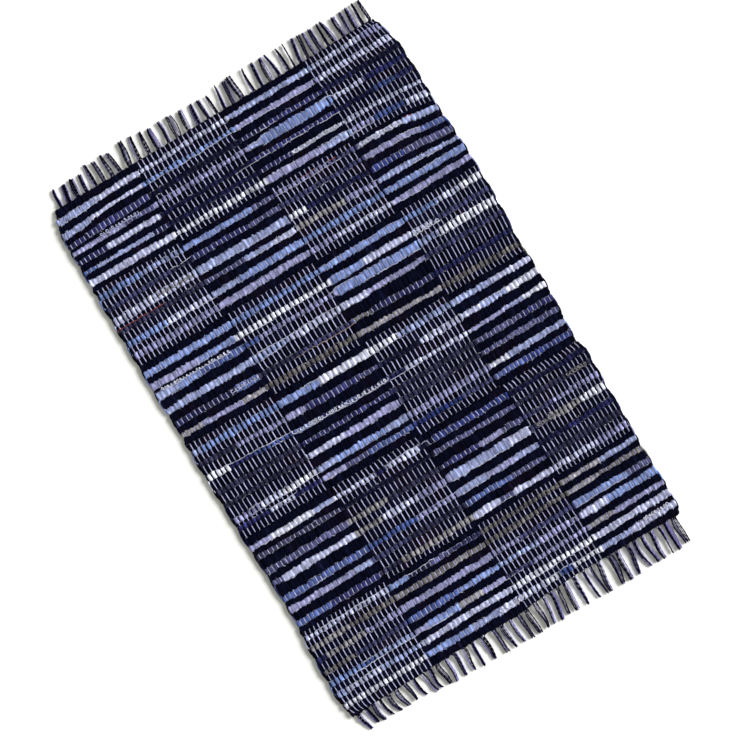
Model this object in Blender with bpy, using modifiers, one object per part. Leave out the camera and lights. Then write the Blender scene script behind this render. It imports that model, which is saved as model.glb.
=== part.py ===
"""Rag rug: one woven body lying flat, with a comb of warp fringe along each end.

Metres, +Z up. The origin is on the floor under the middle of the rug. +X runs across the rug,
along its rag picks, and +Y runs up its warp towards the head end.
"""

import math
import random
from collections import namedtuple

import bmesh
import bpy

COLLECTION = "rag_rug"

# Overall sizes
HALF_LENGTH = 0.4955
BODY_THICKNESS = 0.0068
FRINGE_THICKNESS = 0.0044
NODE_GAP = 0.0003

# The weave: each pick of rag is a shallow rib across the body and a small bulge at its turn.
PICKS = 86
RIB_DEPTH = 0.0012
TURN_BULGE = 0.0012
SELVEDGE_ROUND = 0.0045
SELVEDGE_WALL = 0.0032
FLAT_ANGLE = math.radians(0.01)

# Half-widths of the body down its length. The share runs from 0 at the head to 1 at the foot.
Section = namedtuple("Section", "share left right")
BODY_SECTIONS = (
    Section(0.000, 0.2850, 0.2810),
    Section(0.014, 0.2980, 0.2870),
    Section(0.034, 0.3040, 0.2930),
    Section(0.061, 0.3065, 0.2990),
    Section(0.120, 0.3060, 0.3010),
    Section(0.180, 0.3065, 0.3005),
    Section(0.240, 0.3065, 0.3040),
    Section(0.290, 0.3060, 0.3065),
    Section(0.380, 0.3065, 0.3060),
    Section(0.430, 0.3035, 0.3035),
    Section(0.465, 0.3055, 0.3010),
    Section(0.511, 0.3055, 0.3055),
    Section(0.600, 0.3035, 0.3020),
    Section(0.650, 0.3035, 0.2990),
    Section(0.680, 0.3020, 0.3055),
    Section(0.740, 0.3000, 0.3045),
    Section(0.810, 0.2990, 0.3045),
    Section(0.860, 0.3035, 0.3030),
    Section(0.950, 0.3050, 0.3050),
    Section(0.980, 0.3040, 0.3045),
    Section(1.000, 0.2930, 0.3000),
)

# The two ends of the body, which are not quite square to the selvedges. They bend only at the
# body's columns.
EndPoint = namedtuple("EndPoint", "across along")
HEAD_LINE = (
    EndPoint(-0.31, 0.4520),
    EndPoint(0.00, 0.4530),
    EndPoint(0.20, 0.4545),
    EndPoint(0.31, 0.4565),
)
FOOT_LINE = (
    EndPoint(-0.31, -0.4565),
    EndPoint(-0.10, -0.4515),
    EndPoint(0.00, -0.4515),
    EndPoint(0.05, -0.4465),
    EndPoint(0.11, -0.4430),
    EndPoint(0.31, -0.4440),
)

BODY_COLUMNS = (-0.10, 0.00, 0.05, 0.11, 0.20)

# The fringe, from left to right: runs of tufts that lie alike.
Stretch = namedtuple("Stretch", "tufts pitch lean reach")
HEAD_FRINGE = (
    Stretch(4, 0.0157, 0.0025, 0.030),
    Stretch(3, 0.0149, 0.0000, 0.037),
    Stretch(1, 0.0170, -0.0060, 0.038),
    Stretch(3, 0.0174, 0.0035, 0.040),
    Stretch(3, 0.0181, 0.0010, 0.038),
    Stretch(2, 0.0180, 0.0030, 0.034),
    Stretch(2, 0.0145, -0.0020, 0.034),
    Stretch(2, 0.0154, 0.0025, 0.039),
    Stretch(1, 0.0212, -0.0030, 0.043),
    Stretch(3, 0.0156, 0.0015, 0.042),
    Stretch(1, 0.0149, -0.0060, 0.043),
    Stretch(2, 0.0117, 0.0000, 0.043),
    Stretch(2, 0.0127, 0.0045, 0.041),
    Stretch(3, 0.0121, -0.0010, 0.042),
    Stretch(1, 0.0159, -0.0050, 0.041),
    Stretch(5, 0.0117, 0.0000, 0.038),
)
FOOT_FRINGE = (
    Stretch(3, 0.0128, 0.0050, 0.031),
    Stretch(3, 0.0149, 0.0065, 0.033),
    Stretch(2, 0.0154, 0.0060, 0.033),
    Stretch(1, 0.0138, 0.0090, 0.037),
    Stretch(2, 0.0149, 0.0030, 0.038),
    Stretch(4, 0.0162, -0.0015, 0.041),
    Stretch(1, 0.0212, 0.0020, 0.042),
    Stretch(4, 0.0152, 0.0035, 0.044),
    Stretch(2, 0.0159, 0.0005, 0.046),
    Stretch(3, 0.0131, -0.0040, 0.048),
    Stretch(2, 0.0175, -0.0020, 0.050),
    Stretch(2, 0.0128, 0.0020, 0.053),
    Stretch(1, 0.0202, -0.0040, 0.053),
    Stretch(3, 0.0152, -0.0025, 0.052),
    Stretch(2, 0.0138, 0.0040, 0.049),
    Stretch(4, 0.0141, 0.0000, 0.047),
)
HEAD_FIRST_TUFT = -0.2810
FOOT_FIRST_TUFT = -0.2852
FRINGE_SPINE = 0.0035
SPINE_OVERHANG = 0.0030
TUFT_BASE_WIDTH = 0.0062
TUFT_TIP_WIDTH = 0.0054
TUFT_SWAY = 0.0008
TUFT_REACH_SPREAD = 0.0020
TUFT_STEPS = 4
HEAD_SEED = 11
FOOT_SEED = 23

# Plain finishes: linear colour and roughness
BODY_COLOUR = (0.030, 0.034, 0.095, 1.0)
FRINGE_COLOUR = (0.150, 0.150, 0.260, 1.0)
YARN_ROUGHNESS = 0.95


def clear_scene():
    """Remove every object that the file opened with."""
    for old in list(bpy.data.objects):
        bpy.data.objects.remove(old, do_unlink=True)


def rug_collection():
    """The collection that holds the rug's parts."""
    collection = bpy.data.collections.new(COLLECTION)
    bpy.context.scene.collection.children.link(collection)
    return collection


def finish(name, colour):
    """A matt yarn material."""
    material = bpy.data.materials.new(name)
    material.use_nodes = True
    shader = material.node_tree.nodes["Principled BSDF"]
    shader.inputs["Base Color"].default_value = colour
    shader.inputs["Roughness"].default_value = YARN_ROUGHNESS
    shader.inputs["Metallic"].default_value = 0.0
    return material


def between(rows, key, value, where):
    """Read a table column by straight lines between its rows."""
    for low, high in zip(rows, rows[1:]):
        start = getattr(low, key)
        stop = getattr(high, key)
        if where <= stop:
            part = (where - start) / (stop - start)
            part = min(max(part, 0.0), 1.0)
            return getattr(low, value) * (1.0 - part) + getattr(high, value) * part
    return getattr(rows[-1], value)


def head_y(across):
    """The head end's line at a distance across the rug."""
    return between(HEAD_LINE, "across", "along", across)


def foot_y(across):
    """The foot end's line at a distance across the rug."""
    return between(FOOT_LINE, "across", "along", across)


def body_rows():
    """The body's top as rows of points from head to foot, each row from left to right."""
    rows = []
    for row in range(2 * PICKS + 1):
        share = row / (2 * PICKS)
        wave = abs(math.sin(math.pi * share * PICKS))
        left = TURN_BULGE * (1.0 - wave) - between(BODY_SECTIONS, "share", "left", share)
        right = between(BODY_SECTIONS, "share", "right", share) - TURN_BULGE * (1.0 - wave)
        height = BODY_THICKNESS - RIB_DEPTH * (1.0 - wave)
        places = [(left, SELVEDGE_WALL), (left + SELVEDGE_ROUND, height)]
        places += [(across, height) for across in BODY_COLUMNS]
        places += [(right - SELVEDGE_ROUND, height), (right, SELVEDGE_WALL)]
        rows.append(
            [(x, head_y(x) * (1.0 - share) + foot_y(x) * share, z) for x, z in places]
        )
    return rows


def make_body(collection):
    """The woven body: a ribbed top over a flat underside, with rounded selvedges."""
    rows = body_rows()
    steps_across = len(rows[0]) - 1
    steps_along = len(rows) - 1
    shell = bmesh.new()
    bmesh.ops.create_grid(shell, x_segments=steps_across, y_segments=steps_along, size=1.0)
    for vertex in shell.verts:
        row = round((1.0 - vertex.co.y) / 2.0 * steps_along)
        place = round((1.0 + vertex.co.x) / 2.0 * steps_across)
        vertex.co = rows[row][place]
    underside = bmesh.ops.extrude_face_region(shell, geom=list(shell.faces))
    for item in underside["geom"]:
        if isinstance(item, bmesh.types.BMVert):
            item.co.z = 0.0
    bmesh.ops.recalc_face_normals(shell, faces=shell.faces)
    bmesh.ops.dissolve_limit(
        shell, angle_limit=FLAT_ANGLE, verts=shell.verts, edges=shell.edges
    )
    mesh = bpy.data.meshes.new("rug_body")
    shell.to_mesh(mesh)
    shell.free()
    mesh.materials.append(finish("rag_weave", BODY_COLOUR))
    body = bpy.data.objects.new("rug_body", mesh)
    collection.objects.link(body)


def tufts(stretches, first, seed):
    """Each tuft's place across, lean and reach, with a small seeded spread."""
    chance = random.Random(seed)
    across = first
    for stretch in stretches:
        for _ in range(stretch.tufts):
            sway = chance.uniform(-TUFT_SWAY, TUFT_SWAY)
            reach = stretch.reach + chance.uniform(-TUFT_REACH_SPREAD, TUFT_REACH_SPREAD)
            yield across, stretch.lean + sway, reach
            across += stretch.pitch


def tuft_side(tuft, edge_y, outward, side):
    """The points up one side of a tuft, leaning more the further it is from the body."""
    across, lean, reach = tuft
    tip_y = outward * min(abs(edge_y(across)) + reach, HALF_LENGTH)
    points = []
    for step in range(TUFT_STEPS + 1):
        part = step / TUFT_STEPS
        width = TUFT_BASE_WIDTH * (1.0 - part) + TUFT_TIP_WIDTH * part
        x = across + lean * part ** 1.5 + side * width / 2.0
        base_y = edge_y(x) + outward * FRINGE_SPINE
        points.append((x, base_y * (1.0 - part) + tip_y * part))
    return points


def comb_outline(places, edge_y, outward):
    """One end's fringe from above: a narrow spine along the body's edge, with a tooth for each tuft."""
    left = places[0][0] - SPINE_OVERHANG
    right = places[-1][0] + SPINE_OVERHANG
    outer = [(left, edge_y(left) + outward * FRINGE_SPINE)]
    for tuft in places:
        outer += tuft_side(tuft, edge_y, outward, -1.0)
        outer += reversed(tuft_side(tuft, edge_y, outward, 1.0))
    outer.append((right, edge_y(right) + outward * FRINGE_SPINE))
    stops = (right, *reversed(BODY_COLUMNS), left)
    inner = [(across, edge_y(across) + outward * NODE_GAP) for across in stops]
    return outer + inner


def make_comb(name, collection, material, places, edge_y, outward):
    """A fringe as one flat comb, lying on the floor: its outline, made solid by Solidify."""
    outline = [(across, along, 0.0) for across, along in comb_outline(places, edge_y, outward)]
    if outward > 0.0:
        outline.reverse()
    mesh = bpy.data.meshes.new(name)
    mesh.from_pydata(outline, [], [list(range(len(outline)))])
    mesh.materials.append(material)
    comb = bpy.data.objects.new(name, mesh)
    collection.objects.link(comb)
    thickness = comb.modifiers.new("thickness", "SOLIDIFY")
    thickness.thickness = FRINGE_THICKNESS
    thickness.offset = 1.0


def main():
    clear_scene()
    collection = rug_collection()
    make_body(collection)
    yarn = finish("fringe_yarn", FRINGE_COLOUR)
    head = list(tufts(HEAD_FRINGE, HEAD_FIRST_TUFT, HEAD_SEED))
    foot = list(tufts(FOOT_FRINGE, FOOT_FIRST_TUFT, FOOT_SEED))
    make_comb("fringe_head", collection, yarn, head, head_y, 1.0)
    make_comb("fringe_foot", collection, yarn, foot, foot_y, -1.0)


main()
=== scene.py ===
"""Looks for the rag rug: every warp end, rag, turn, tuft strand and stray thread as its own yarn.

Metres, +Z up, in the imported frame. The rug lies flat: +X runs along its rag picks and +Y up its
warp towards the head end. "Share" is a place from 0 at the left selvedge to 1 at the right one.
"""

import math
import random
from collections import namedtuple

import bpy
import numpy as np
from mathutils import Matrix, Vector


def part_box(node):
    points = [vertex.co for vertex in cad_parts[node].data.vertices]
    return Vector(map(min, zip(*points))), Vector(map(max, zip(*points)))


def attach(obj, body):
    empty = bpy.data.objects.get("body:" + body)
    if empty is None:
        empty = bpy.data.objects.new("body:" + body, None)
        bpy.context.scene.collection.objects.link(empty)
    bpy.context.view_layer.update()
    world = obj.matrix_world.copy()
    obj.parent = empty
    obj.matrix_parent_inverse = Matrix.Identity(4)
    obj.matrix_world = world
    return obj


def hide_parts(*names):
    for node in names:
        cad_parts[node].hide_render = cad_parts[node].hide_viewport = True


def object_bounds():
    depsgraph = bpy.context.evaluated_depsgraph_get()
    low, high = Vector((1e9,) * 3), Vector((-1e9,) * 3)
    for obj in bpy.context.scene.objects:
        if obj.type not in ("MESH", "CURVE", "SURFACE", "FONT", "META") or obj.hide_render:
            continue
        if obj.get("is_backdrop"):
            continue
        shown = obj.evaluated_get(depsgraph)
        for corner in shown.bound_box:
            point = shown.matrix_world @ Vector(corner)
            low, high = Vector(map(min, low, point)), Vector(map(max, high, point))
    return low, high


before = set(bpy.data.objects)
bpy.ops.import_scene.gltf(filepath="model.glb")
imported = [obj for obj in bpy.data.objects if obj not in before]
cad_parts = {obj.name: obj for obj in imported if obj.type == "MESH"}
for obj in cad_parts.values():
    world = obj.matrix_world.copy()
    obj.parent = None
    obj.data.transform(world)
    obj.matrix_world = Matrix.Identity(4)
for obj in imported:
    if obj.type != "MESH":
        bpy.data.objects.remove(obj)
CAD_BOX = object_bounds()

MM = 0.001
CHANCE = np.random.default_rng(20)

# The weave: a plain weave of 152 warp ends in four block columns, beaten over 86 rag picks.
# In each block the ends go dark, light, dark and so on, and start and stop with a dark one.
BLOCK_ENDS = (39, 39, 37, 37)
ENDS = sum(BLOCK_ENDS)
STATIONS = 2 * ENDS + 1
# Coloured picks in each block row. One black pick lies between coloured picks and at each end of
# the rug, and two lie between block rows.
BLOCK_ROWS = (7, 6, 6, 7, 7, 7)

# Every yarn is a tube: how far the tubes close in at their ends, and how far above the floor
# they stay
TUBE_END = 0.55
TUBE_FLOOR = 0.05 * MM

# The yarns' shine, and the depth of the relief in their materials
YARN_SHINE = 0.02
RELIEF_DEPTH = 0.4 * MM

# The rags: their heights and sizes, the share of the width over which one rag eases into the
# next, the least depth of a pick, and how far the lines between picks bow and ripple
RAG_MIDDLE = 3.40 * MM
RAG_SWING = 0.68 * MM
RAG_HALF_THICK = 2.55 * MM
RAG_OVERLAP = 1.05
RAG_SQUARE = 0.85
RAG_SQUEEZE = 0.90
RAG_PINCH = 0.08
RAG_FLATTEN = 0.07
RAG_JOIN = 0.016
LEAST_PICK = 3.2 * MM
LINE_BOW = 0.70 * MM
LINE_RIPPLE = 0.75 * MM

# How far a rag's folds, creases and tufts change its size and then its painted shade, lighter
# where they swell and darker where they sink, how far its tone drifts, how strongly it is
# flecked (more where it is dark), and how worn its frayed edges are
FOLD_SWELL = 0.08
CREASE_SWELL = 0.11
TUFT_SWELL = 0.19
FOLD_SHADE = 0.30
CREASE_SHADE = 0.22
TUFT_SHADE = 0.15
SLOW_SHADE = 0.15
FLECK = 0.22
DARK_FLECK = 0.22
LEAST_WEAR = 0.20
WEAR_FOR_PALENESS = 1.5
MOST_WEAR = 0.75

# The warp ends: their heights, sizes, wander and tone, the points of an end's line within each
# pick, and how far inside the end lines the ends stop
WARP_OVER = 5.72 * MM
WARP_OVER_SHOULDER = 5.15 * MM
WARP_UNDER = 1.08 * MM
WARP_UNDER_SHOULDER = 1.35 * MM
PALE_HALF_WIDE = 0.76 * MM
DARK_HALF_WIDE = 1.62 * MM
WARP_HALF_THICK = 0.92 * MM
WARP_WANDER = 0.55 * MM
WARP_SWELL = 0.20
WARP_TONE = 0.22
END_TONE = 0.12
WARP_STOP = 0.3 * MM
CROWN = 0.50
CROSSING_POINTS = (0.18, CROWN, 0.82)

# Where the body's outline counts as a selvedge, an end or a corner, as shares of its half size
NEAR_SELVEDGE = 0.90
NEAR_END = 0.95
NEAR_CORNER = 0.85

# How far inside the selvedges the rags stop, and how the outer ends draw in at the corners
SELVEDGE_INSET = 2.2 * MM
CORNER_START = 0.93
CORNER_SPREAD = 0.05

# How far the ends lie to the right of an even spacing at the head and at the foot, in millimetres.
Drift = namedtuple("Drift", "share head foot")
DRIFTS = (
    Drift(0.00, 0.0, 0.0),
    Drift(0.25, -1.5, 1.0),
    Drift(0.51, 3.0, 7.5),
    Drift(0.76, 4.5, 9.5),
    Drift(1.00, 0.0, 0.0),
)

# The rags' turns at the selvedges
TURN_RINGS = 11
TURN_HEIGHT = 3.3 * MM
TURN_LIFT = 0.5 * MM
TURN_HALF_WIDE = 1.5 * MM
TURN_HALF_THICK = 2.3 * MM
TURN_UNEVEN = 0.12
TURN_INSET = 1.55 * MM
TURN_TUCK = 3.0 * MM
TURN_EASE = 0.048

# Dyes as sRGB, 0 to 255
DYES = {
    "white": (198, 200, 217),
    "pale": (168, 172, 203),
    "mist": (129, 140, 181),
    "sky": (103, 122, 174),
    "denim": (60, 76, 129),
    "royal": (34, 45, 98),
    "indigo": (34, 36, 80),
    "navy": (21, 22, 54),
    "ink": (14, 14, 38),
    "lilac": (127, 127, 167),
    "slate": (61, 62, 98),
    "smoke": (42, 41, 63),
    "stone": (127, 124, 128),
    "khaki": (94, 90, 90),
    "black": (5, 6, 20),
    "wine": (17, 7, 14),
    "end_pale": (150, 151, 185),
    "end_dark": (8, 10, 31),
    "tuft_pale": (130, 127, 182),
    "tuft_dark": (12, 8, 32),
    "rust": (166, 74, 48),
    "sand": (186, 158, 138),
}

# The coloured picks from head to foot. "at" is the distance from the head line in millimetres
# at the middle of the rug, and "tilt" is how much lower the right end lies than the left one.
# Each rag in the pick is its start in hundredths of the width, its dye, and its depth in
# millimetres.
Pick = namedtuple("Pick", "at tilt rags")
COLOURED_PICKS = (
    Pick(15, -7, "0 mist 12, 12 pale 10, 25 pale 8, 52 mist 9, 77 pale 9, 93 lilac 12"),
    Pick(35, -5, "0 mist 12, 8.5 pale 6, 25 sky 8, 52 lilac 9, 77 pale 10"),
    Pick(55, -7, "0 navy 10, 8 indigo 11, 25 ink 10, 52 navy 8, 60 indigo 8, 77 navy 9, "
                 "85 ink 9"),
    Pick(72, -4, "0 lilac 8, 16 slate 8, 25 lilac 9, 52 mist 9, 56 sky 16, 77 pale 8, "
                 "87 indigo 11"),
    Pick(91, 0, "0 navy 9, 9 pale 9, 25 navy 8, 52 indigo 8, 77 navy 8, 88 denim 9, "
                "95 indigo 11"),
    Pick(111, 4, "0 denim 8, 4 mist 7, 21 navy 8, 53 indigo 7, 61 pale 6, 77 pale 8, 90 pale 7"),
    Pick(129, 4, "0 pale 12, 25 white 9, 52 lilac 12, 69 mist 11, 77 lilac 10, 84 denim 11, "
                 "93 pale 11"),
    Pick(154, 2, "0 sky 11, 13 mist 9, 25 sky 10, 45 slate 8, 52 lilac 8, 68 slate 8, 76 pale 8, "
                 "90 mist 12"),
    Pick(174, 4, "0 slate 8, 20 smoke 7, 25 indigo 9, 42 slate 9, 52 slate 8, 76 lilac 10, "
                 "93 denim 10"),
    Pick(196, 4, "0 pale 14, 25 mist 14, 52 white 10, 57 navy 10, 76 royal 12, 86 slate 12"),
    Pick(216, 4, "0 smoke 9, 25 slate 8, 37 mist 9, 45 pale 10, 52 stone 9, 66 lilac 9, "
                 "76 mist 9"),
    Pick(238, 0, "0 sky 12, 12 pale 10, 25 mist 10, 33 sky 12, 52 sky 10, 76 sky 10"),
    Pick(258, -2, "0 lilac 11, 25 lilac 12, 52 lilac 9, 60 pale 9, 76 lilac 11"),
    Pick(290, -3, "0 sky 12, 25 sky 10, 52 sky 11, 76 sky 10, 86 pale 10, 93 white 12"),
    Pick(313, 0, "0 lilac 12, 14 sky 12, 25 white 10, 52 sky 13, 62 pale 12, 76 pale 8, "
                 "82 slate 9"),
    Pick(332, 4, "0 mist 15, 6 sky 14, 13 denim 13, 25 denim 10, 30 lilac 9, 52 sky 17, "
                 "76 mist 12, 82 white 14"),
    Pick(356, -2, "0 mist 11, 25 mist 12, 36 pale 13, 52 pale 12, 59 lilac 9, 76 slate 9"),
    Pick(384, 6, "0 navy 11, 18 denim 12, 25 smoke 8, 36 slate 8, 52 khaki 6, 57 navy 10, "
                 "76 indigo 9"),
    Pick(406, 10, "0 stone 9, 6 lilac 8, 18 stone 9, 25 khaki 9, 52 stone 8, 76 khaki 9"),
    Pick(437, 5, "0 mist 12, 3 sky 12, 25 sky 12, 37.5 white 13, 52 white 12, 60 mist 11, "
                 "76 mist 11, 88 pale 10"),
    Pick(463, 6, "0 smoke 9, 11 lilac 9, 25 lilac 11, 31 indigo 12, 46 slate 8, 52 ink 8, "
                 "64 pale 11, 76 pale 9, 82 mist 11, 90 white 12"),
    Pick(488, 5, "0 white 12, 7 indigo 8, 14 denim 8, 25 sky 9, 31 indigo 9, 38 denim 9, "
                 "44 indigo 8, 57 pale 8, 76 lilac 7, 88 mist 8, 93 white 9"),
    Pick(508, 2, "0 smoke 9, 25 indigo 8, 52 smoke 9, 76 slate 8, 90 indigo 10"),
    Pick(528, 0, "0 smoke 8, 25 pale 10, 36 lilac 12, 52 smoke 9, 76 slate 9, 88 slate 10"),
    Pick(553, -6, "0 lilac 11, 8 pale 11, 15 white 11, 25 mist 11, 31 sky 11, 45 mist 11, "
                  "52 lilac 11, 76 white 10, 82 mist 10"),
    Pick(570, 0, "0 indigo 8, 10 pale 7, 17 indigo 8, 25 lilac 9, 32 slate 9, 39 denim 9, "
                 "52 royal 9, 66 slate 8, 76 denim 10, 85 royal 11"),
    Pick(604, -3, "0 lilac 10, 6 white 10, 19 mist 9, 25 pale 9, 37 indigo 8, 40 pale 11, "
                  "50 navy 9, 54 royal 12, 76 navy 10"),
    Pick(623, 0, "0 smoke 9, 25 ink 8, 52 slate 8, 76 smoke 9"),
    Pick(647, -2, "0 slate 11, 25 stone 9, 36 smoke 8, 52 indigo 8, 63 lilac 10, 70 slate 9, "
                  "85 lilac 9"),
    Pick(668, -3, "0 slate 10, 3 pale 13, 16 pale 11, 25 stone 9, 33 pale 11, 43 lilac 12, "
                  "52 mist 17, 70 pale 15, 76 slate 9, 82 stone 12, 92 white 14"),
    Pick(695, -7, "0 denim 12, 25 denim 10, 40 lilac 10, 52 mist 12, 60 lilac 10, 69 mist 11, "
                  "76 navy 10, 85 indigo 10"),
    Pick(716, -4, "0 lilac 11, 12 lilac 9, 20 mist 10, 25 slate 9, 36 smoke 9, 52 denim 10, "
                  "66 slate 8, 76 smoke 11"),
    Pick(739, -8, "0 denim 11, 10 indigo 11, 25 smoke 8, 31 stone 10, 52 pale 12, 60 slate 9, "
                  "64 pale 10, 76 pale 10, 90 lilac 11"),
    Pick(765, -7, "0 pale 9, 25 sky 10, 31 ink 7, 37 slate 9, 44 indigo 8, 52 khaki 8, "
                  "76 stone 9, 88 mist 9"),
    Pick(783, -8, "0 stone 10, 12 khaki 9, 25 khaki 10, 42 stone 8, 46 khaki 8, 52 khaki 9, "
                  "76 stone 8, 86 khaki 8"),
    Pick(804, -6, "0 indigo 10, 3 stone 9, 15 lilac 9, 25 lilac 11, 52 lilac 9, 60 slate 9, "
                  "76 sky 12, 93 slate 12"),
    Pick(824, -10, "0 khaki 8, 10 slate 8, 25 denim 10, 40 sky 10, 52 mist 10, 63 lilac 10, "
                   "76 pale 13, 84 sky 13"),
    Pick(845, -7, "0 sky 11, 10 denim 10, 14 mist 10, 25 lilac 9, 29 sky 12, 38 stone 9, "
                  "45 lilac 8, 52 slate 7, 60 lilac 8, 76 stone 9, 84 lilac 9"),
    Pick(864, -9, "0 mist 10, 3 pale 10, 14 mist 9, 25 pale 10, 52 white 10, 76 pale 10, "
                  "90 pale 12"),
    Pick(884, -10, "0 white 10, 25 sky 11, 38 mist 11, 46 pale 12, 52 pale 10, 60 white 9, "
                   "64 denim 10, 68 white 8, 76 mist 9, 86 pale 12"),
)
HEAD_MIDDLE = 0.4530

# Where the picks bend down towards a selvedge, in millimetres: the middle and the reach of the
# picks that bend, the selvedge's share, how far in the bend fades, and its drop.
Sag = namedtuple("Sag", "at reach share fade drop")
SAGS = (
    Sag(38, 22, 0.0, 0.095, 7),
    Sag(185, 20, 0.0, 0.12, 5),
    Sag(162, 52, 1.0, 0.09, 10),
    Sag(478, 24, 0.0, 0.20, -9),
    Sag(478, 24, 1.0, 0.16, -7),
)

# Frayed threads that lie along the edge of a coloured pick: the pick from 1 at the head, the side
# it lies on (1 towards the foot), the shares where it starts and stops, and its dye.
Fray = namedtuple("Fray", "pick side start stop dye")
FRAYS = (
    Fray(2, 1, 0.26, 0.76, "white"),
    Fray(3, 1, 0.57, 0.62, "white"),
    Fray(5, 1, 0.46, 0.77, "white"),
    Fray(6, -1, 0.60, 0.76, "white"),
    Fray(6, 1, 0.61, 0.75, "white"),
    Fray(8, 1, 0.52, 0.72, "white"),
    Fray(8, -1, 0.60, 0.64, "rust"),
    Fray(8, -1, 0.68, 0.70, "rust"),
    Fray(8, -1, 0.91, 0.93, "rust"),
    Fray(4, -1, 0.74, 0.82, "white"),
    Fray(1, 1, 0.02, 0.12, "white"),
    Fray(9, -1, 0.20, 0.26, "white"),
    Fray(10, 1, 0.26, 0.50, "white"),
    Fray(11, -1, 0.00, 0.14, "rust"),
    Fray(11, 1, 0.37, 0.52, "white"),
    Fray(12, 1, 0.10, 0.26, "white"),
    Fray(14, -1, 0.52, 0.74, "pale"),
    Fray(15, 1, 0.25, 0.50, "white"),
    Fray(16, 1, 0.62, 0.76, "white"),
    Fray(17, -1, 0.26, 0.52, "white"),
    Fray(18, 1, 0.35, 0.52, "sand"),
    Fray(20, 1, 0.37, 0.60, "white"),
    Fray(21, -1, 0.82, 0.98, "white"),
    Fray(22, -1, 0.05, 0.25, "white"),
    Fray(22, 1, 0.30, 0.62, "white"),
    Fray(25, 1, 0.08, 0.26, "white"),
    Fray(26, -1, 0.10, 0.18, "white"),
    Fray(27, 1, 0.02, 0.26, "white"),
    Fray(27, -1, 0.40, 0.52, "white"),
    Fray(30, 1, 0.52, 0.76, "white"),
    Fray(31, -1, 0.40, 0.60, "pale"),
    Fray(33, 1, 0.52, 0.64, "white"),
    Fray(34, -1, 0.02, 0.24, "white"),
    Fray(36, 1, 0.76, 0.92, "white"),
    Fray(38, 1, 0.14, 0.36, "white"),
    Fray(39, -1, 0.28, 0.52, "white"),
    Fray(39, 1, 0.55, 0.88, "white"),
    Fray(40, -1, 0.60, 0.76, "white"),
)

# More of them are placed by chance, on rags of the fraying dyes. All have these rings, height,
# radius and spread of tone.
RANDOM_FRAYS = 34
FRAYING_DYES = ("white", "pale", "mist", "sky", "lilac", "denim", "slate")
FRAY_RINGS = 90
FRAY_HEIGHT = 5.5 * MM
FRAY_RADIUS = 0.42 * MM
THREAD_TONE = 0.2

# Curled threads, where the frayed edge of a pale rag has sprung into small loops. A side of 0 is
# the middle of the pick.
CURLS = (
    Fray(4, -1, 0.09, 0.20, "pale"),
    Fray(6, 0, 0.61, 0.75, "white"),
    Fray(8, 0, 0.77, 0.90, "white"),
    Fray(10, 0, 0.13, 0.24, "stone"),
    Fray(15, 1, 0.76, 0.84, "white"),
    Fray(16, -1, 0.02, 0.22, "white"),
    Fray(18, 0, 0.17, 0.25, "pale"),
    Fray(22, 0, 0.25, 0.40, "white"),
    Fray(22, 0, 0.38, 0.52, "white"),
    Fray(24, 0, 0.84, 0.93, "lilac"),
    Fray(28, 0, 0.92, 0.98, "stone"),
    Fray(30, 0, 0.78, 0.86, "stone"),
    Fray(34, 0, 0.44, 0.52, "slate"),
    Fray(40, 0, 0.46, 0.53, "white"),
    Fray(40, -1, 0.90, 0.98, "white"),
)
CURL_RINGS = 250
CURL_HEIGHT = 7.1 * MM
CURL_THREAD = 0.72 * MM
CURL_RADIUS = 2.3 * MM
CURL_PITCH = 5.6 * MM

# Short fibres that stick out of the rags' edges: how many are tried, where they start, and the
# ranges of their sizes, in millimetres, and of their share of white
FIBRES = 4300
FIBRE_RINGS = 4
FIBRE_HEIGHT = 5.1 * MM
FIBRE_ROOT = 0.8 * MM
FIBRE_RUN = 3.2
FIBRE_OUT = (0.3, 3.2)
FIBRE_BEND = (-0.8, 0.8)
FIBRE_ARCH = (0.0, 1.2)
FIBRE_RADIUS = (0.24, 0.55)
FIBRE_WHITE = (0.2, 0.9)

# The fringe, from left to right: runs of tufts that lie alike, where the part's combs have them.
Stretch = namedtuple("Stretch", "tufts pitch lean reach")
HEAD_FRINGE = (
    Stretch(4, 0.0157, 0.0025, 0.030),
    Stretch(3, 0.0149, 0.0000, 0.037),
    Stretch(1, 0.0170, -0.0060, 0.038),
    Stretch(3, 0.0174, 0.0035, 0.040),
    Stretch(3, 0.0181, 0.0010, 0.038),
    Stretch(2, 0.0180, 0.0030, 0.034),
    Stretch(2, 0.0145, -0.0020, 0.034),
    Stretch(2, 0.0154, 0.0025, 0.039),
    Stretch(1, 0.0212, -0.0030, 0.043),
    Stretch(3, 0.0156, 0.0015, 0.042),
    Stretch(1, 0.0149, -0.0060, 0.043),
    Stretch(2, 0.0117, 0.0000, 0.043),
    Stretch(2, 0.0127, 0.0045, 0.041),
    Stretch(3, 0.0121, -0.0010, 0.042),
    Stretch(1, 0.0159, -0.0050, 0.041),
    Stretch(5, 0.0117, 0.0000, 0.038),
)
FOOT_FRINGE = (
    Stretch(3, 0.0128, 0.0050, 0.031),
    Stretch(3, 0.0149, 0.0065, 0.033),
    Stretch(2, 0.0154, 0.0060, 0.033),
    Stretch(1, 0.0138, 0.0090, 0.037),
    Stretch(2, 0.0149, 0.0030, 0.038),
    Stretch(4, 0.0162, -0.0015, 0.041),
    Stretch(1, 0.0212, 0.0020, 0.042),
    Stretch(4, 0.0152, 0.0035, 0.044),
    Stretch(2, 0.0159, 0.0005, 0.046),
    Stretch(3, 0.0131, -0.0040, 0.048),
    Stretch(2, 0.0175, -0.0020, 0.050),
    Stretch(2, 0.0128, 0.0020, 0.053),
    Stretch(1, 0.0202, -0.0040, 0.053),
    Stretch(3, 0.0152, -0.0025, 0.052),
    Stretch(2, 0.0138, 0.0040, 0.049),
    Stretch(4, 0.0141, 0.0000, 0.047),
)
TUFT_SWAY = 0.0008
TUFT_REACH_SPREAD = 0.0020
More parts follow.
